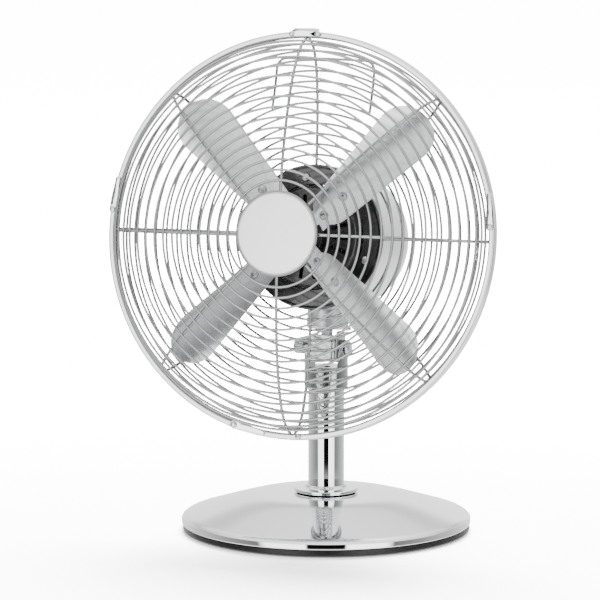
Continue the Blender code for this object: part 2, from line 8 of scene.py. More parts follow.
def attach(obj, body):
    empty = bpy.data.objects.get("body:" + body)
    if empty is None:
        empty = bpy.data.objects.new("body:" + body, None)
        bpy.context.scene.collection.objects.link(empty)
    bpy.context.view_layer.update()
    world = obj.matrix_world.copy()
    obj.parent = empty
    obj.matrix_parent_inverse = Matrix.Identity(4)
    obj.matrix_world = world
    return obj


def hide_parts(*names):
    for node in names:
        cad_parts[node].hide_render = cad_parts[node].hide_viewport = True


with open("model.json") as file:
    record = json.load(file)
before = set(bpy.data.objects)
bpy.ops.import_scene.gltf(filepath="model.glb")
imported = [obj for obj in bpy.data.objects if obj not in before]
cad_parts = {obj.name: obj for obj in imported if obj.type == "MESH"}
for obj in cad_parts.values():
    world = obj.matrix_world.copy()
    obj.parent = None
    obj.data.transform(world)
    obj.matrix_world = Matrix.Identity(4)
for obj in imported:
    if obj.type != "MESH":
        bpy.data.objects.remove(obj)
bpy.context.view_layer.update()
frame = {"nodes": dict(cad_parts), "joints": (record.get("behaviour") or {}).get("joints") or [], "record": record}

# Camera. A long lens four metres off, a little above the fan and round towards the positive x side,
# so that the guard is seen slightly from that side. It stays level and has no depth of field.
VIEW_TURN = math.radians(19.45)
VIEW_RISE = math.radians(8.32)
CAMERA_DISTANCE = 4.0
aim = Vector((-0.0204, -0.0101, 0.2012))
toward_camera = Vector((math.sin(VIEW_TURN) * math.cos(VIEW_RISE),
                        -math.cos(VIEW_TURN) * math.cos(VIEW_RISE),
                        math.sin(VIEW_RISE)))
camera = bpy.data.objects.new("camera", bpy.data.cameras.new("camera"))
bpy.context.collection.objects.link(camera)
camera.location = Vector((0, 0, 0.22)) + CAMERA_DISTANCE * toward_camera
camera.rotation_euler = (aim - camera.location).to_track_quat("-Z", "Y").to_euler()
camera.data.lens = 279.3
camera.data.clip_end = 60
bpy.context.scene.camera = camera


# Studio. A pale floor before a white sheet, lit by tall soft panels either side of a dark doorway
# behind the camera, which puts the crisp dark line down polished metal, and by a soft box overhead.


class Signal:
    """One output of a shader node. Sums on it add Math nodes to the same tree."""

    def __init__(self, tree, socket):
        self.tree = tree
        self.socket = socket

    def sum(self, operation, first, second):
        return self.tree.node("ShaderNodeMath", {"operation": operation}, {0: first, 1: second})

    def __add__(self, other):
        return self.sum("ADD", self, other)

    def __radd__(self, other):
        return self.sum("ADD", other, self)

    def __sub__(self, other):
        return self.sum("SUBTRACT", self, other)

    def __rsub__(self, other):
        return self.sum("SUBTRACT", other, self)

    def __mul__(self, other):
        return self.sum("MULTIPLY", self, other)

    def __rmul__(self, other):
        return self.sum("MULTIPLY", other, self)


class Nodes:
    """The node tree of a material or of the world."""

    def __init__(self, owner):
        self.owner = owner
        owner.use_nodes = True
        self.tree = owner.node_tree

    def feed(self, node, values):
        for key, value in values.items():
            if isinstance(value, Signal):
                self.tree.links.new(value.socket, node.inputs[key])
            else:
                node.inputs[key].default_value = value

    def node(self, kind, settings=None, values=None, output=0):
        made = self.tree.nodes.new(kind)
        for key, value in (settings or {}).items():
            if key == "stops":
                ramp = made.color_ramp
                while len(ramp.elements) < len(value):
                    ramp.elements.new(0.5)
                for element, (place, shade) in zip(ramp.elements, value):
                    element.position = place
                    element.color = (shade, shade, shade, 1.0)
            else:
                setattr(made, key, value)
        self.feed(made, values or {})
        return Signal(self, made.outputs[output])


STUDIO_STRENGTH, SHEET_GLOW = 4.6, 13.0
PANEL_STOPS = [(0.0, 0.001), (0.082, 0.001), (0.095, 1.0), (0.27, 0.9),
               (0.31, 0.06), (0.45, 0.10), (0.70, 0.22), (1.0, 0.5)]
CEILING_STOPS = [(0.0, 0.04), (0.38, 0.08), (0.56, 0.36), (0.75, 0.42), (0.92, 0.7)]
world = Nodes(bpy.data.worlds.new("studio"))
bpy.context.scene.world = world.owner
direction = world.node("ShaderNodeTexCoord")
sides = world.node("ShaderNodeSeparateXYZ", {}, {0: direction})
across = Signal(world, sides.socket.node.outputs["X"])
ahead = Signal(world, sides.socket.node.outputs["Y"])
height = Signal(world, sides.socket.node.outputs["Z"])
bearing = world.node("ShaderNodeMath", {"operation": "ARCTAN2"}, {0: across, 1: 0 - ahead})
offset = world.node("ShaderNodeMath", {"operation": "ABSOLUTE"}, {0: bearing - VIEW_TURN})
panels = world.node("ShaderNodeValToRGB", {"stops": PANEL_STOPS}, {0: offset * (1 / math.pi)})
overhead = world.node("ShaderNodeValToRGB", {"stops": CEILING_STOPS}, {0: height})
above = world.node("ShaderNodeMapRange", {"interpolation_type": "SMOOTHSTEP"},
                   {0: height, 1: 0.30, 2: 0.55})
below = world.node("ShaderNodeMapRange", {"interpolation_type": "SMOOTHSTEP"},
                   {0: 0 - height, 1: 0.24, 2: 0.42})
walls = world.node("ShaderNodeMix", {"data_type": "RGBA"}, {0: below, 6: panels, 7: (0.5, 0.5, 0.5, 1)}, 2)
room = world.node("ShaderNodeMix", {"data_type": "RGBA"}, {0: above, 6: walls, 7: overhead}, 2)
world.feed(world.tree.nodes["Background"], {"Color": room, "Strength": STUDIO_STRENGTH})


def stage_sheet(name, points, faces, colour):
    """A staged surface that the fan's polished parts don't reflect. It glows more away from the fan."""
    mesh = bpy.data.meshes.new(name)
    mesh.from_pydata(points, [], faces)
    sheet = bpy.data.objects.new(name, mesh)
    bpy.context.collection.objects.link(sheet)
    paint = Nodes(bpy.data.materials.new(name + "_paint"))
    spot = paint.node("ShaderNodeTexCoord", {}, {}, "Object")
    away = paint.node("ShaderNodeVectorMath", {"operation": "LENGTH"}, {0: spot}, "Value")
    far = paint.node("ShaderNodeMapRange", {"interpolation_type": "SMOOTHSTEP"},
                     {0: away, 1: 0.16, 2: 1.6, 3: 0.05})
    paint.feed(paint.tree.nodes["Principled BSDF"],
               {"Base Color": (colour, colour, colour, 1), "Roughness": 0.9,
                "Emission Color": far, "Emission Strength": SHEET_GLOW})
    mesh.materials.append(paint.owner)
    sheet.visible_glossy = False
    return sheet


STAGE, DRUM_SIDES = 9, 48
stage_sheet("floor", [(-STAGE, -STAGE, 0), (STAGE, -STAGE, 0), (STAGE, STAGE, 0), (-STAGE, STAGE, 0)],
            [(0, 1, 2, 3)], colour=0.93)
drum = []
for level in (-1, 8):
    for k in range(DRUM_SIDES):
        angle = 2 * math.pi * k / DRUM_SIDES
        drum.append((STAGE * math.cos(angle), STAGE * math.sin(angle), level))
drum_walls = []
for k in range(DRUM_SIDES):
    after = (k + 1) % DRUM_SIDES
    drum_walls.append((k, after, DRUM_SIDES + after, DRUM_SIDES + k))
backdrop = stage_sheet("backdrop", drum, drum_walls, colour=0.0)
backdrop.visible_diffuse = False
backdrop.visible_shadow = False

lamp = bpy.data.lights.new("overhead_light", "AREA")
lamp.shape = "DISK"
lamp.size = 1.6
lamp.energy = 850
soft_box = bpy.data.objects.new("overhead_light", lamp)
bpy.context.collection.objects.link(soft_box)
soft_box.location = (-0.2, 1.0, 2.2)
soft_box.rotation_euler = (Vector((0, 0, 0.2)) - soft_box.location).to_track_quat("-Z", "Y").to_euler()
soft_box.visible_glossy = False

# Bottom cover. One moulded black disc that snaps into the base, its rim showing as a dark ring below
# the plating. Its underside is recessed inside a flat bearing ring. Sizes are in millimetres, and
# this and every other part of the stand is drawn in the stand's own frame.
MM = 0.001
STAND = Matrix.Identity(4)


def soften(corners, steps=5):
    """Round the corners of an outline. Each corner is (x, y) or (x, y, radius)."""
    outline = []
    for before, corner, after in zip(corners[-1:] + corners[:-1], corners, corners[1:] + corners[:1]):
        here = Vector(corner[:2])
        if len(corner) == 2:
            outline.append(tuple(here))
            continue
        into = (Vector(before[:2]) - here).normalized()
        away = (Vector(after[:2]) - here).normalized()
        half = into.angle(away) / 2
        reach = min(corner[2] / math.tan(half), (Vector(before[:2]) - here).length * 0.49,
                    (Vector(after[:2]) - here).length * 0.49)
        radius = reach * math.tan(half)
        centre = here + (into + away).normalized() * (radius / math.sin(half))
        start, end = here + into * reach - centre, here + away * reach - centre
        sweep = start.angle_signed(end)
        for k in range(steps + 1):
            outline.append(tuple(centre + Matrix.Rotation(-sweep * k / steps, 2) @ start))
    return outline


def turned(outline, segments=96):
    """Spin a closed outline of (radius, height) about z. A corner on the axis becomes a pole."""
    points, rings, faces = [], [], []
    for radius, height in outline:
        if radius <= 0:
            points.append((0, 0, height))
            rings.append([len(points) - 1] * segments)
            continue
        rings.append(list(range(len(points), len(points) + segments)))
        for k in range(segments):
            angle = 2 * math.pi * k / segments
            points.append((radius * math.cos(angle), radius * math.sin(angle), height))
    for ring, after in zip(rings, rings[1:] + rings[:1]):
        for k in range(segments):
            corners = (ring[k], ring[(k + 1) % segments], after[(k + 1) % segments], after[k])
            distinct = list(dict.fromkeys(corners))
            if len(distinct) > 2:
                faces.append(distinct)
    return points, faces


def break_edges(made, width, sharp, harden=False):
    edge = made.modifiers.new("edge", "BEVEL")
    edge.width = width * MM
    edge.segments = 3
    edge.limit_method = "ANGLE"
    edge.angle_limit = math.radians(sharp)
    edge.harden_normals = harden


def make(name, shape, place, finish, bevel=0.0, sharp=32):
    points, faces = shape
    mesh = bpy.data.meshes.new(name)
    mesh.from_pydata([Vector(point) * MM for point in points], [], faces)
    work = bmesh.new()
    work.from_mesh(mesh)
    bmesh.ops.recalc_face_normals(work, faces=work.faces[:])
    work.to_mesh(mesh)
    work.free()
    made = bpy.data.objects.new(name, mesh)
    bpy.context.collection.objects.link(made)
    made.matrix_world = place
    if finish:
        mesh.materials.append(finish)
    mesh.shade_smooth()
    mesh.set_sharp_from_angle(angle=math.radians(sharp))
    if bevel:
        break_edges(made, bevel, sharp, harden=True)
    return made


def fit_as_placed(made, body, slot, *nodes):
    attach(made, body)
    if nodes:
        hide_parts(*nodes)
    return made


def fit(made, body, slot, *nodes):
    made.data.transform(made.matrix_world)
    made.matrix_world = STAND
    return fit_as_placed(made, body, slot, *nodes)


def finish_coat(name, colour, metallic, roughness, grain, relief, stretch=(1, 1, 1), spread=0.08, **others):
    """A surface whose sheen and colour vary with a stretched grain, and whose skin carries it as relief."""
    coat = Nodes(bpy.data.materials.new(name))
    shader = coat.tree.nodes["Principled BSDF"]
    place = coat.node("ShaderNodeTexCoord", {}, {}, "Object")
    spot = coat.node("ShaderNodeMapping", {}, {"Vector": place, "Scale": stretch})
    fine = coat.node("ShaderNodeTexNoise", {}, {"Vector": spot, "Scale": grain, "Detail": 4.0})
    broad = coat.node("ShaderNodeTexNoise", {}, {"Vector": place, "Scale": 14.0, "Detail": 2.0})
    tone = coat.node("ShaderNodeMix", {"data_type": "RGBA"},
                     {"Factor": fine * 0.6 + broad * 0.4, "A": (*[c * (1 - spread) for c in colour], 1),
                      "B": (*[min(1, c * (1 + spread)) for c in colour], 1)}, "Result")
    bump = coat.node("ShaderNodeBump", {}, {"Height": fine, "Strength": relief, "Distance": 0.0004})
    coat.feed(shader, {"Base Color": tone, "Metallic": metallic, "Normal": bump,
                       "Roughness": fine * (roughness * 0.5) + broad * (roughness * 0.4) + roughness * 0.55})
    coat.feed(shader, others)
    return coat.owner


black_plastic = finish_coat("black_plastic", (0.004, 0.004, 0.0045), 0.0, 0.36, 900, 0.10,
                            **{"Specular IOR Level": 0.25})
cover_section = soften([(0, 1.4), (96, 1.4, 0.5), (97, 0, 0.4), (121.4, 0, 1.0), (124.2, 1.8, 1.6),
                        (124.0, 6.7, 0.8), (114, 6.7, 0.6), (112, 3.0, 0.6), (0, 3.0)])
bottom_cover = make("bottom_cover", turned(cover_section, 144), STAND, black_plastic)
fit(bottom_cover, "stand", "black_plastic", "base_bottom_cover")

# Base cover. A spun steel dome, plated bright, its edge rolled under into a bead round the black ring.
# The draw rod pulls it down onto the bottom cover and the weight between them.
chrome = finish_coat("chrome_plate", (0.80, 0.81, 0.82), 1.0, 0.045, 160, 0.008, spread=0.02)
DOME_TOP, DOME_SLOPE, DOME_BREAK, DOME_BLEND = 34.2, 0.32, 61.0, 15.0
DOME_STEPS, DOME_INNER, DOME_SPAN, DOME_GAUGE = 40, 5, 116.5, 1.3


def dome_height(radius):
    past = radius - DOME_BREAK
    return DOME_TOP - DOME_SLOPE * (math.hypot(past, DOME_BLEND) + past) / 2


dome_radii = [DOME_INNER + DOME_SPAN * k / DOME_STEPS for k in range(DOME_STEPS + 1)]
dome_top = [(radius, dome_height(radius)) for radius in dome_radii]
bead = soften([(122.6, dome_height(122.6) - 0.1, 0.3), (123.1, 13.0, 0.2), (124.0, 13.0, 0.5),
               (124.9, 11.6, 1.2), (124.9, 7.6, 0.6), (124.4, 7.0, 0.3), (123.4, 7.0, 0.3),
               (123.2, 12.2, 0.5)], 4)
dome_under = [(radius, height_there - DOME_GAUGE) for radius, height_there in reversed(dome_top[:-1])]
base_dome = make("base_dome", turned(dome_top + bead + dome_under, 160), STAND, chrome)
fit(base_dome, "stand", "chrome_plate", "base_shell")

# Collar. A plated steel washer with a rolled rim, pressed to shape, that covers the joint between
# column and dome and is clamped there by the column.
collar_section = soften([(15.8, 34.4), (27.0, 34.4, 0.4), (28.1, 35.6, 0.8), (27.7, 37.4, 0.9),
                         (25.2, 37.6, 1.2), (18.6, 38.4, 1.2), (17.4, 40.4, 0.8), (15.8, 40.6)])
collar = make("collar", turned(collar_section, 128), STAND, chrome)
fit(collar, "stand", "chrome_plate", "base_collar")

# Column. Straight drawn steel tube, polished and plated. The draw rod inside it clamps it between
# the base and the neck.
column_section = soften([(14.1, 34.6), (15.6, 34.6, 0.3), (15.6, 124.0, 0.4), (14.1, 124.0)])
column = make("column", turned(column_section, 128), STAND, chrome)
fit(column, "stand", "chrome_plate", "column_tube")


# Cord inlet. A moulded black grommet in the back edge of the base, with a ribbed sleeve that
# would guide the mains lead. It is pushed into a hole in the rim.


def at(x=0, y=0, z=0):
    return Matrix.Translation(Vector((x, y, z)) * MM)


def turn(degrees, axis="Z"):
    return Matrix.Rotation(math.radians(degrees), 4, axis)


SLEEVE_RIBS, SLEEVE_PITCH = 4, 2.4
sleeve = [(2.6, -3.0), (7.2, -3.0, 0.5), (7.2, 0.0, 0.8), (5.2, 1.4, 0.6)]
for k in range(SLEEVE_RIBS):
    crest, groove, start = 5.0 - 0.15 * k, 4.0 - 0.1 * k, SLEEVE_PITCH * k
    sleeve += [(crest, 2.8 + start, 0.3), (groove, 3.4 + start, 0.3), (groove, 4.4 + start, 0.3)]
sleeve += [(4.4, 12.0, 0.5), (2.6, 12.0)]
inlet = make("cord_inlet", turned(soften(sleeve), 48), at(0, 127.9, 7.6) @ turn(-90, "X"), black_plastic)
fit(inlet, "stand", "black_plastic", "cord_gland")

# Neck. A plated zinc casting on top of the column, slotted to leave two ears, which are bored across
# for the tilt pin. Its spigot fits inside the column, and the draw rod holds it down.


def axes(x, y, z, origin):
    return Matrix.Translation(origin) @ Matrix((x, y, z)).transposed().to_4x4()


def pressed(outline, low, high):
    """A flat blank cut to an outline of (x, y), between two heights."""
    count = len(outline)
    points = [(x, y, low) for x, y in outline] + [(x, y, high) for x, y in outline]
    faces = [list(range(count)), list(range(2 * count - 1, count - 1, -1))]
    for k in range(count):
        after = (k + 1) % count
        faces.append([k, after, count + after, count + k])
    return points, faces


def oblong(half_x, half_y, *radius):
    """The outline of an oblong about the origin, with an optional corner radius."""
    return [(x * half_x, y * half_y, *radius) for x, y in ((-1, -1), (1, -1), (1, 1), (-1, 1))]


def bore(radius, low, high, segments=32):
    """The round plug that a drill would take out."""
    return turned([(0, low), (radius, low), (radius, high), (0, high)], segments)


def carve(target, shape, place, operation="DIFFERENCE"):
    """Cut or join a shape now, so that a later edge break runs round the cut too."""
    tool = make(target.name + "_tool", shape, place, None)
    step = target.modifiers.new("cut", "BOOLEAN")
    step.operation = operation
    step.solver = "EXACT"
    step.object = tool
    bpy.context.view_layer.update()
    settled = bpy.data.meshes.new_from_object(target.evaluated_get(bpy.context.evaluated_depsgraph_get()))
    target.modifiers.remove(step)
    target.data = settled
    bpy.data.objects.remove(tool)
    target.data.set_sharp_from_angle(angle=math.radians(32))


TILT_HEIGHT, PIN_BORE, EAR_RADIUS = 159.6, 4.2, 7.5
right = Vector((1, 0, 0))
# The neck, yoke and nut plating is coloured darker than the dome's chrome. This is painted shade that sets these
# parts off against the white sheet.
shaded_cast_chrome = finish_coat("shaded_cast_chrome", (0.38, 0.385, 0.39), 1.0, 0.10, 220, 0.03, spread=0.05)
neck_section = soften([(4.2, 112), (13.8, 112), (13.8, 124.3), (17.8, 124.3, 0.6), (18.9, 126.4, 1.4),
                       (18.9, 167.1), (4.2, 167.1)])
neck = make("neck", turned(neck_section, 96), STAND, shaded_cast_chrome)
ear_outline = [(-24, 100), (24, 100), (24, 143), (13.0, 143), (10.5, 151)]
for k in range(13):
    angle = math.pi * k / 12
    ear_outline.append((EAR_RADIUS * math.cos(angle), TILT_HEIGHT + EAR_RADIUS * math.sin(angle)))
ear_outline += [(-10.5, 151), (-13.0, 143), (-24, 143)]
ear_side = axes(Vector((0, 1, 0)), Vector((0, 0, 1)), right, Vector())
carve(neck, pressed(oblong(14.1, 30), 142.9, 180), STAND)
carve(neck, pressed(ear_outline, -30, 30), ear_side, "INTERSECT")
carve(neck, bore(PIN_BORE, -30, 30), at(0, 0, TILT_HEIGHT) @ turn(90, "Y"))
break_edges(neck, 0.5, 40)
fit(neck, "stand", "chrome_plate", "tilt_fork")

# Tilt pin. A turned steel shoulder bolt, zinc plated, through both ears and the yoke, with a domed
# head on the right and its thread on the left.
zinc_steel = finish_coat("zinc_steel", (0.60, 0.61, 0.63), 1.0, 0.26, 420, 0.05, spread=0.12)
pin_section = soften([(0, -24.6), (3.9, -24.6, 0.6), (3.9, 19.0), (6.4, 19.0, 0.3), (6.4, 21.2, 1.2),
                      (4.4, 22.4, 1.6), (0, 22.4)])
tilt_bolt = make("tilt_bolt", turned(pin_section, 48), at(0, 0, TILT_HEIGHT) @ turn(90, "Y"), zinc_steel)
fit(tilt_bolt, "stand", "zinc_steel", "tilt_pin")

# Tilt knob. A knurled plated nut with a plain boss at each end, turned from bar. It screws on the
# left end of the bolt and clamps the head at its angle.
KNURL_POINTS = 64
knurl = []
for k in range(KNURL_POINTS):
    reach, angle = (6.6, 6.25, 6.25, 6.6)[k % 4], 2 * math.pi * k / KNURL_POINTS
    knurl.append((reach * math.cos(angle), reach * math.sin(angle)))
nut_place = at(-19.0, 0, TILT_HEIGHT) @ turn(-90, "Y")
tilt_nut = make("tilt_nut", pressed(knurl, 0.6, 8.6), nut_place, shaded_cast_chrome, 0.12)
outer_boss = turned(soften([(0, 8.0), (5.6, 8.0), (5.6, 9.4, 0.7), (0, 9.4)]), 48)
inner_boss = turned(soften([(0, 0), (5.4, 0), (5.4, 1.0), (0, 1.0)]), 48)
carve(tilt_nut, outer_boss, tilt_nut.matrix_world, "UNION")
carve(tilt_nut, inner_boss, tilt_nut.matrix_world, "UNION")
carve(tilt_nut, bore(PIN_BORE, -5, 6.0), tilt_nut.matrix_world)
fit(tilt_nut, "tilt_lock", "chrome_plate", "tilt_knob")

# Yoke. The plated zinc block between the ears. It tilts on the bolt, leans with the head, and carries
# the swivel pin upright. Its own frame has the tilt hinge for its origin.
joints = {joint["name"]: joint for joint in frame["joints"]}
upward = Vector(joints["oscillation"]["axis"])
forward = Vector(joints["blade_spin"]["axis"])
YOKE = axes(right, -forward, upward, Vector(joints["head_tilt"]["pos_m"]))
yoke = make("yoke", pressed(soften(oblong(13.8, 12, 3.0)), -12.3, 11.0), YOKE, shaded_cast_chrome)
carve(yoke, bore(PIN_BORE, -30, 30), YOKE @ turn(90, "Y"))
break_edges(yoke, 0.8, 40)
fit(yoke, "yoke", "chrome_plate", "tilt_yoke")

# Swivel housing. A silver-painted casting under the motor that turns on the swivel pin and is
# saddled to the cover. The fan's own frame, used from here on, has z forward along the shaft.
SADDLE_BORE = 62.3
FAN = axes(right, upward, forward, Vector(joints["blade_spin"]["pos_m"]))
silver_paint = finish_coat("silver_paint", (0.46, 0.47, 0.48), 0.85, 0.30, 1400, 0.06, spread=0.06)
saddle_section = soften([(5.4, 15.5), (16.6, 15.5, 0.8), (18.0, 17.6, 1.2), (18.0, 42), (5.4, 42)])
saddle = make("saddle", turned(saddle_section, 96), YOKE, silver_paint)
carve(saddle, bore(SADDLE_BORE, -80, 80, 128), FAN)
fit(saddle, "head", "silver_paint", "swivel_housing")

# Motor cover. A deep-drawn steel shell, painted silver, over the motor and gearbox. Cooling slots are
# punched in its shoulder, and two holes take the swivel pin and the oscillation knob's stem.
COVER_SLOTS = 20
cover = soften([(62, 44.4, 0.6), (62, -18, 16), (58.5, -34, 14), (50, -46, 16), (36, -56, 22),
                (8, -62, 1.0), (8, -60.6), (35.4, -54.6, 20), (49, -45, 14), (57.2, -33, 14),
                (60.6, -17.6, 14), (60.6, 43.0), (50, 43.0), (50, 44.4)], 8)
motor_shell = make("motor_shell", turned(cover, 128), FAN, silver_paint)
cover_slot = soften(oblong(6.5, 1.3, 1.25), 3)
for k in range(COVER_SLOTS):
    slot_place = FAN @ turn(18 * k + 9) @ at(47, 0, -62)
    carve(motor_shell, pressed(cover_slot, 0, 30), slot_place)
carve(motor_shell, bore(5.5, -90, -20), FAN @ at(0, 0, -30) @ turn(-90, "X"))
carve(motor_shell, bore(4.0, 20, 90), FAN @ at(0, 0, -40) @ turn(-90, "X"))
fit(motor_shell, "head", "silver_paint", "motor_cover")

# Guard plate. A pressed steel disc in black enamel, screwed to the motor, that holds the rear guard
# against it.
black_enamel = finish_coat("black_enamel", (0.003, 0.003, 0.0033), 0.0, 0.30, 500, 0.03,
                           **{"Coat Weight": 0.4})
plate_section = soften([(45, 47.5), (62, 47.5, 0.5), (62, 50.6, 0.8), (60.4, 50.6, 0.6), (58.8, 49.6, 0.6),
                        (45, 49.6, 0.4)])
plate = make("plate", turned(plate_section, 128), FAN, black_enamel)
fit(plate, "head", "black_enamel", "guard_plate")

# Motor front bell. A black cast end shield with cooling slots and a boss round the front bearing.
# It closes the motor's front and carries the stator.
BELL_SLOTS = 18
bell_section = soften([(5.2, 66.5, 0.4), (11, 66.5, 1.0), (13, 62.5, 1.5), (30, 60.0, 4), (41, 56.8, 3),
                       (44, 52.5, 3), (44, 24), (42.2, 24), (42.2, 51.5, 2), (39.5, 55, 2), (8, 58.5),
                       (8, 64.9), (5.2, 64.9)])
bell = make("bell", turned(bell_section, 96), FAN, black_enamel)
vent = soften(oblong(7.5, 1.7, 1.6), 4)
for number in range(BELL_SLOTS):
    carve(bell, pressed(vent, 50, 66), FAN @ turn(20 * number) @ at(29))
fit(bell, "head", "black_enamel", "motor_front_bell")

# Plate screws. Three zinc-plated pan heads with cross recesses, spaced evenly round the bell, that
# fasten the guard plate to the motor.
pan_section = soften([(0, 45.2), (1.5, 45.2), (1.5, 50.0), (3.4, 50.0, 0.3), (3.2, 51.6, 0.9), (0, 52.4)])
for number, angle in enumerate((100, 220, 340), 1):
    spot = FAN @ turn(angle) @ at(51.2)
    screw = make(f"pan_screw_{number}", turned(pan_section, 32), spot, zinc_steel)
    for quarter in (0, 90):
        carve(screw, pressed(oblong(2.2, 0.35), 51.4, 54), spot @ turn(quarter))
    fit(screw, "head", "zinc_steel", f"plate_screw_{number}")

# Guards. Rings of bright wire welded to eight ribs: a deep dome in front and a flatter dish behind,
# each closed by a heavier rim wire that the band clamps.


def drawn(path, radius, sides=10, closed=False):
    """Round wire along a path, with rounded-over ends unless it closes on itself."""
    spots = [Vector(spot) for spot in path]
    radii = [radius] * len(spots)
    if not closed:
        first, last = (spots[0] - spots[1]).normalized(), (spots[-1] - spots[-2]).normalized()
        spots = [spots[0] + first * radius * 0.7] + spots + [spots[-1] + last * radius * 0.7]
        radii = [radius * 0.55] + radii + [radius * 0.55]
    count = len(spots)
    points, faces = [], []
    normal = None
    for k, spot in enumerate(spots):
        ahead_of = spots[(k + 1) % count] if closed else spots[min(k + 1, count - 1)]
        behind = spots[k - 1] if closed else spots[max(k - 1, 0)]
        heading = (ahead_of - behind).normalized()
        normal = heading.orthogonal().normalized() if normal is None else normal
        normal = (normal - heading * normal.dot(heading)).normalized()
        side = heading.cross(normal)
        for s in range(sides):
            angle = 2 * math.pi * s / sides
            points.append(spot + radii[k] * (math.cos(angle) * normal + math.sin(angle) * side))
    for k in range(count if closed else count - 1):
        for s in range(sides):
            after, row, following = (s + 1) % sides, k * sides, (k + 1) % count * sides
            faces.append([row + s, row + after, following + after, following + s])
    if not closed:
        faces.append(list(range(sides)))
        faces.append(list(range(count * sides - 1, (count - 1) * sides - 1, -1)))
    return points, faces


def hoop(radius, height, wire, segments=144, sides=10):
    """A ring of round wire about z."""
    outline = []
    for s in range(sides):
        angle = 2 * math.pi * s / sides
        outline.append((radius + wire * math.cos(angle), height + wire * math.sin(angle)))
    return turned(outline, segments)


def together(*shapes):
    points, faces = [], []
    for more_points, more_faces in shapes:
        start = len(points)
        points += list(more_points)
        faces += [[start + corner for corner in face] for face in more_faces]
    return points, faces


# The wire plating is coloured far darker than the dome's chrome. This is painted shade, standing in for the dark
# room that thin wires reflect.
shaded_wire_chrome = finish_coat("shaded_wire_chrome", (0.27, 0.275, 0.28), 1.0, 0.09, 300, 0.01, spread=0.04)
RIM = FAN @ at(0, 0, 81.7)
GUARD_RADIUS, FRONT_DEPTH, REAR_DEPTH = 167.0, 57.5, 35.7
RIM_WIRE, RIM_CENTRE = 1.7, 168.8
RING_WIRE, RIB_WIRE, RIB_COUNT, RIB_STEPS = 1.1, 1.3, 8, 40


def front_depth(radius):
    return FRONT_DEPTH * (1 - (radius / GUARD_RADIUS) ** 2.1) ** (1 / 2.2)


def rear_depth(radius):
    return -REAR_DEPTH * (1 - (radius / GUARD_RADIUS) ** 4.0) ** (1 / 2.5)


def guard(radii, depth, roll):
    side = math.copysign(1, depth(0))
    shapes = [hoop(radius, depth(radius), RING_WIRE) for radius in radii]
    shapes.append(hoop(RIM_CENTRE, side * 2.0, RIM_WIRE, 160, 12))
    inner = radii[0] - 1.2
    ribs = [inner + (165.4 - inner) * math.sin(math.pi / 2 * k / RIB_STEPS) for k in range(RIB_STEPS + 1)]
    for number in range(RIB_COUNT):
        angle = math.radians(360 / RIB_COUNT * number + roll)
        path = []
        for radius in ribs:
            path.append((radius * math.cos(angle), radius * math.sin(angle), depth(radius) - side * 1.5))
        path += [(167.2 * math.cos(angle), 167.2 * math.sin(angle), side * 4.4)]
        shapes.append(drawn(path, RIB_WIRE))
    return together(*shapes)


RING_PITCH = 8.87
front_rings = [32.0] + [44.6 + RING_PITCH * k for k in range(12)] + [149.6, 156.0, 160.9, 164.2]
rear_rings = [61.0] + [70.4 + RING_PITCH * k for k in range(10)] + [157.6, 163.2]
front_wires = make("front_wires", guard(front_rings, front_depth, 0.7), RIM, shaded_wire_chrome, sharp=60)
fit(front_wires, "head", "chrome_plate", "front_guard")
rear_wires = make("rear_wires", guard(rear_rings, rear_depth, 1.0), RIM, shaded_wire_chrome, sharp=60)
fit(rear_wires, "head", "chrome_plate", "rear_guard")

# Trim band. A rolled and plated steel channel that wraps both rim wires and shows as a flat bright
# rim. A screw at the bottom draws its ends together.
band_section = soften([(172.6, -5.2, 1.4), (172.6, 5.2, 1.5), (168.4, 5.2, 0.8), (167.8, 4.2, 0.4),
                       (171.5, 4.2, 0.4), (171.5, -4.2, 0.4), (167.8, -4.2, 0.4), (168.4, -5.2, 0.8)])
# The band's plating is coloured darker than the dome's chrome. This is painted shade, so that the bright rim
# doesn't wash into the white sheet.
shaded_band_chrome = finish_coat("shaded_band_chrome", (0.62, 0.63, 0.64), 1.0, 0.07, 300, 0.01, spread=0.04)
band = make("band", turned(band_section, 192), RIM, shaded_band_chrome)
fit(band, "head", "chrome_plate", "trim_band")

# Badge. A spun aluminium cap with a thin rolled edge, pressed over the guard's inner ring. Fine
# turning lines run round its face, and it carries no lettering.
spun = Nodes(bpy.data.materials.new("spun_satin"))
spot = spun.node("ShaderNodeTexCoord", {}, {}, "Object")
flat_spot = spun.node("ShaderNodeVectorMath", {"operation": "MULTIPLY"}, {0: spot, 1: (1, 1, 0)})
reach = spun.node("ShaderNodeVectorMath", {"operation": "LENGTH"}, {0: flat_spot}, "Value")
lines = spun.node("ShaderNodeTexNoise", {"noise_dimensions": "1D"},
                  {"W": reach, "Scale": 2600.0, "Detail": 2.0})
satin_bump = spun.node("ShaderNodeBump", {}, {"Height": lines, "Strength": 0.06, "Distance": 0.0002})
# The colour darkens to a thin grey ring at the rolled edge. This is painted shade where the edge turns away, not a
# different finish.
painted_rim_shade = spun.node("ShaderNodeMapRange", {}, {0: reach, 1: 0.0338, 2: 0.0345})
spun_tone = spun.node("ShaderNodeMix", {"data_type": "RGBA"},
                      {"Factor": painted_rim_shade, "A": (0.86, 0.86, 0.85, 1), "B": (0.26, 0.26, 0.27, 1)}, "Result")
spun.feed(spun.tree.nodes["Principled BSDF"], {"Base Color": spun_tone, "Metallic": 1.0,
                                               "Roughness": lines * 0.12 + 0.36, "Normal": satin_bump})
badge_section = soften([(0, 139.9), (34.4, 139.9, 0.4), (36.0, 140.6, 0.5), (36.0, 142.1, 0.7),
                        (34.9, 142.6, 0.5), (34.3, 141.2, 0.2), (33.8, 141.2, 0.2), (33.4, 141.8, 0.4),
                        (0, 142.0)])
badge_cap = make("badge_cap", turned(badge_section, 128), FAN, spun.owner)
fit_as_placed(badge_cap, "head", "brushed_aluminium", "badge")

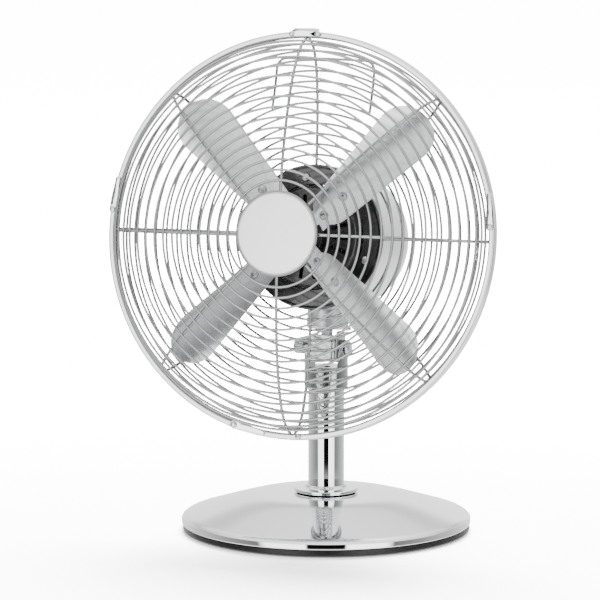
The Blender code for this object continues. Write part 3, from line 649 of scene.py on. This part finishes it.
# Carrying handle. One length of plated wire bent into a loop and welded to the top of the rear
# guard. It is drawn as its right half and the mirror of that.
HANDLE_RADIUS = 9
bend = [(math.cos(math.pi / 2 * k / 8), math.sin(math.pi / 2 * k / 8)) for k in range(9)]
handle_path = [(44, 108, 47.0), (44, 116, 45.0), (44, 130, 42.0)]
handle_path += [(35 + HANDLE_RADIUS * x, 143 + HANDLE_RADIUS * y, 40.6) for x, y in bend]
handle_path += [(0, 152.6, 40.4)] + [(-x, y, z) for x, y, z in reversed(handle_path)]
handle = make("handle", drawn(handle_path, 1.2, 12), FAN, shaded_wire_chrome, sharp=60)
fit(handle, "head", "chrome_plate", "carry_handle")

# Clips. Sprung steel leaves riveted to the band's face. Three swing aside to open the guard and the
# top one is fixed by a stud at each end. A slotted screw at the bottom locks the band.
LATCH_REACH, FACE = 169.6, 5.5
leaf = soften([(-3.4, -3.4, 3.2), (10, -3.4, 2), (22, -2.6, 1), (28.4, -2.2, 1.2), (28.4, 2.2, 1.2),
               (22, 2.6, 1), (10, 3.4, 2), (-3.4, 3.4, 3.2)])
rivet_section = soften([(0, FACE), (1.3, FACE), (1.3, FACE + 1.3), (3.0, FACE + 1.3, 0.2),
                        (2.4, FACE + 2.9, 1.2), (0, FACE + 3.4)])
for side_name, angle, lean in (("right", 5.0, 95.0), ("left", 175.0, 83.0), ("bottom", 253.4, -12.0)):
    clip_place = RIM @ turn(angle) @ at(LATCH_REACH) @ turn(lean - angle)
    leaf_plate = make(f"{side_name}_leaf", pressed(leaf, FACE, FACE + 1.0), clip_place, chrome, 0.25)
    carve(leaf_plate, bore(1.5, FACE - 2, FACE + 4, 24), clip_place)
    fit(leaf_plate, f"{side_name}_clip", "chrome_plate", f"{side_name}_latch")
    rivet = make(f"{side_name}_rivet", turned(rivet_section, 32), clip_place, zinc_steel)
    fit(rivet, "head", "zinc_steel", f"{side_name}_latch_rivet")

TOP_CLIP_TURN = 1.2
top_outline = soften([(-13, 168.2, 0.6), (13, 168.2, 0.6), (13, 172.0, 1.0), (9, 175.2, 1.5),
                      (-9, 175.2, 1.5), (-13, 172.0, 1.0)])
top_lip = [(-9, 173.6), (9, 173.6), (9, 175.2), (-9, 175.2)]
top_plate = make("top_plate", pressed(top_outline, FACE, FACE + 1.2), RIM @ turn(TOP_CLIP_TURN), chrome, 0.3)
carve(top_plate, pressed(top_lip, -5.4, FACE + 0.8), RIM @ turn(TOP_CLIP_TURN), "UNION")
fit(top_plate, "head", "chrome_plate", "top_clip")
stud_section = soften([(0, FACE + 0.9), (2.6, FACE + 0.9, 0.2), (2.2, FACE + 2.6, 1.2), (0, FACE + 3.0)])
for side_name, end in (("left", -1), ("right", 1)):
    head_place = RIM @ turn(TOP_CLIP_TURN) @ at(11.5 * end, 170.4)
    stud = make(f"top_stud_{side_name}", turned(stud_section, 32), head_place, zinc_steel)
    fit(stud, "head", "zinc_steel")

screw_spot = RIM @ turn(273.2) @ at(LATCH_REACH)
safety_section = soften([(0, FACE), (2.6, FACE, 0.2), (2.3, FACE + 1.6, 0.8), (0, FACE + 2.0)])
safety = make("safety_screw", turned(safety_section, 32), screw_spot, zinc_steel)
carve(safety, pressed(oblong(2.0, 0.35), FACE + 1.2, FACE + 4), screw_spot)
fit(safety, "head", "zinc_steel", "band_screw")

# Blades. Four thin aluminium pressings, brushed across, bowed along their length and twisted from
# root to tip, each held to an arm of the spider by two rivets.
brushed = finish_coat("brushed_aluminium", (0.58, 0.59, 0.60), 1.0, 0.20, 90, 0.03, (8, 0.5, 0.5), 0.12)
rivet_steel = finish_coat("rivet_steel", (0.34, 0.35, 0.36), 1.0, 0.16, 420, 0.05, spread=0.12)
BLADE_TURN, BLADE_COUNT = 45.5, 4
BLADE_ROOT, BLADE_TIP, BLADE_GAUGE = 22.0, 150.0, 0.9
BLADE_STEPS, BOW, BOW_HALF_WIDTH = 44, 5.0, 27.0


def blade_pitch(reach):
    return math.radians(30.0 - 10.0 * (reach - BLADE_ROOT) / (BLADE_TIP - BLADE_ROOT))


def blade_half_width(reach):
    share = (reach - BLADE_ROOT) / (BLADE_TIP - BLADE_ROOT)
    root_round = math.sqrt(max(0.0, 1 - max(0.0, 1 - share / 0.12) ** 2))
    tip_round = math.sqrt(max(0.0, 1 - max(0.0, (share - 0.78) / 0.22) ** 2))
    return (15.0 + 12.5 * share) * min(root_round, tip_round)


def sheet_point(reach, across, offset):
    pitch = blade_pitch(reach)
    bow = BOW * (1 - (across / BOW_HALF_WIDTH) ** 2)
    return (reach, across * math.cos(pitch) - bow * math.sin(pitch),
            across * math.sin(pitch) + bow * math.cos(pitch) + offset)


def bent_sheet(reaches, half_width, columns, low, high):
    points, faces = [], []
    width, rows = columns + 1, len(reaches)
    for offset in (low, high):
        for reach in reaches:
            for column in range(width):
                points.append(sheet_point(reach, half_width(reach) * (2 * column / columns - 1), offset))
    for row in range(rows - 1):
        for column in range(columns):
            a = row * width + column
            faces.append([a, a + 1, a + width + 1, a + width])
            b = a + rows * width
            faces.append([b, b + width, b + width + 1, b + 1])
    rim = [(row, 0) for row in range(rows)] + [(rows - 1, column) for column in range(1, width)]
    rim += [(row, columns) for row in range(rows - 2, -1, -1)]
    rim += [(0, column) for column in range(columns - 1, 0, -1)]
    for (row, column), (next_row, next_column) in zip(rim, rim[1:] + rim[:1]):
        a, b = row * width + column, next_row * width + next_column
        faces.append([a, b, b + rows * width, a + rows * width])
    return points, faces


blade_span = BLADE_TIP - BLADE_ROOT
reaches = []
for k in range(BLADE_STEPS + 1):
    share = (1 - math.cos(math.pi * k / BLADE_STEPS)) / 2
    reaches.append(BLADE_ROOT + blade_span * (0.0005 + 0.999 * share))
blade_shape = bent_sheet(reaches, blade_half_width, 20, -BLADE_GAUGE / 2, BLADE_GAUGE / 2)
blade_rivet_section = soften([(0, -2.6), (2.4, -2.6, 0.3), (2.4, 0.4), (4.2, 0.4, 0.2), (4.2, 0.9, 0.2),
                              (3.3, 0.9, 0.2), (2.9, 2.2, 1.2), (0, 2.7)])
for number in range(BLADE_COUNT):
    blade_place = RIM @ turn(BLADE_TURN + 90 * number)
    blade = make(f"fan_blade_{number + 1}", blade_shape, blade_place, brushed, sharp=50)
    fit_as_placed(blade, "rotor", "brushed_aluminium", f"blade_{number + 1}")
    for reach in (28.0, 51.0):
        seat = blade_place @ at(*sheet_point(reach, 0, 0)) @ turn(math.degrees(blade_pitch(reach)), "X")
        rivet_name = f"blade_rivet_{number + 1}_{int(reach)}"
        rivet = make(rivet_name, turned(blade_rivet_section, 28), seat, rivet_steel)
        fit(rivet, "rotor", "zinc_steel")

# Spider. Four stamped steel arms behind the blades, moulded into a black boss that fits the shaft.
# The hub nut clamps the boss, and every arm takes one blade's two rivets.
ARM_ROOT, ARM_SPAN, ARM_STEPS = 14, 43, 12
arm_reaches = [ARM_ROOT + ARM_SPAN * k / ARM_STEPS for k in range(ARM_STEPS + 1)]
arm = bent_sheet(arm_reaches, lambda reach: 9.5 - 3.0 * max(0, (reach - 50) / 7) ** 2, 8, -2.4, -0.8)
spider = make("spider", arm, RIM @ turn(BLADE_TURN), zinc_steel)
for number in range(1, BLADE_COUNT):
    carve(spider, arm, RIM @ turn(BLADE_TURN + 90 * number), "UNION")
fit(spider, "rotor", "brushed_aluminium", "hub_spider")
boss_section = soften([(4.3, 70), (12, 70, 0.6), (12, 79.5, 1.0), (20, 79.9, 0.4), (20, 84.0, 0.8),
                       (12, 84.9, 0.8), (4.3, 84.9)])
boss = make("boss", turned(boss_section, 64), FAN, black_plastic)
fit(boss, "rotor", "black_plastic", "hub_spider")

# Hub nut. A plated hexagon nut, chamfered at both ends, that screws on the shaft and holds the
# spider to it. The badge hides it.
NUT_CORNER = 8
hexagon = []
for k in range(6):
    hexagon.append((NUT_CORNER * math.cos(math.pi * k / 3), NUT_CORNER * math.sin(math.pi * k / 3)))
nut = make("shaft_nut", pressed(hexagon, 85, 91.5), FAN, zinc_steel, 0.5)
carve(nut, bore(4.4, 80, 95), FAN)
fit(nut, "rotor", "zinc_steel", "hub_nut")

# Rear controls. A moulded rotary speed knob with a pointer in the centre of the cover, and the
# push-pull oscillation knob on its shoulder. Each is pushed on its stem.
GRIP_POINTS = 72
grip = []
for k in range(GRIP_POINTS):
    radius, angle = 15.4 if k % 6 < 4 else 14.8, 2 * math.pi * k / GRIP_POINTS
    grip.append((radius * math.cos(angle), radius * math.sin(angle)))
knob = make("rotary_knob", pressed(grip, -76.6, -63.4), FAN, black_plastic, 0.5)
carve(knob, pressed(oblong(1.6, 13), -78, -75.8), FAN)
carve(knob, bore(3.4, -71.6, -60, 24), FAN)
fit(knob, "speed_control", "black_plastic", "speed_knob")
lift_section = soften([(0, 12.4), (3, 12.4), (3, 57.4), (6, 57.4, 0.3), (6.3, 58.4, 0.5), (5.9, 61.0, 0.9),
                       (5, 61.8, 0.8), (0, 61.6)])
lift = make("lift_knob", turned(lift_section, 48), FAN @ at(0, 0, -40) @ turn(-90, "X"), black_plastic)
fit(lift, "oscillation_control", "black_plastic", "oscillation_knob")

# Inner works. Cast, wound and cut parts inside the motor, gearbox, column and base. They stay as
# they are and only take their own finishes.
cast_iron = finish_coat("cast_iron", (0.10, 0.10, 0.11), 0.6, 0.6, 260, 0.3, spread=0.2)
copper = finish_coat("enamelled_copper", (0.16, 0.07, 0.035), 1.0, 0.3, 60, 0.4, (1, 1, 40), 0.2)
nylon = finish_coat("gear_nylon", (0.78, 0.76, 0.70), 0.0, 0.45, 300, 0.05)
coats = {"chrome_plate": chrome, "silver_paint": silver_paint, "black_plastic": black_plastic,
         "zinc_steel": zinc_steel, "cast_iron": cast_iron, "enamelled_copper": copper, "gear_nylon": nylon,
         "brushed_aluminium": brushed, "black_enamel": black_enamel}
for row in frame["record"]["subparts"]:
    node = frame["nodes"][row["node"]]
    if not node.hide_render:
        node.data.materials.clear()
        node.data.materials.append(coats[row["material_slot"]])
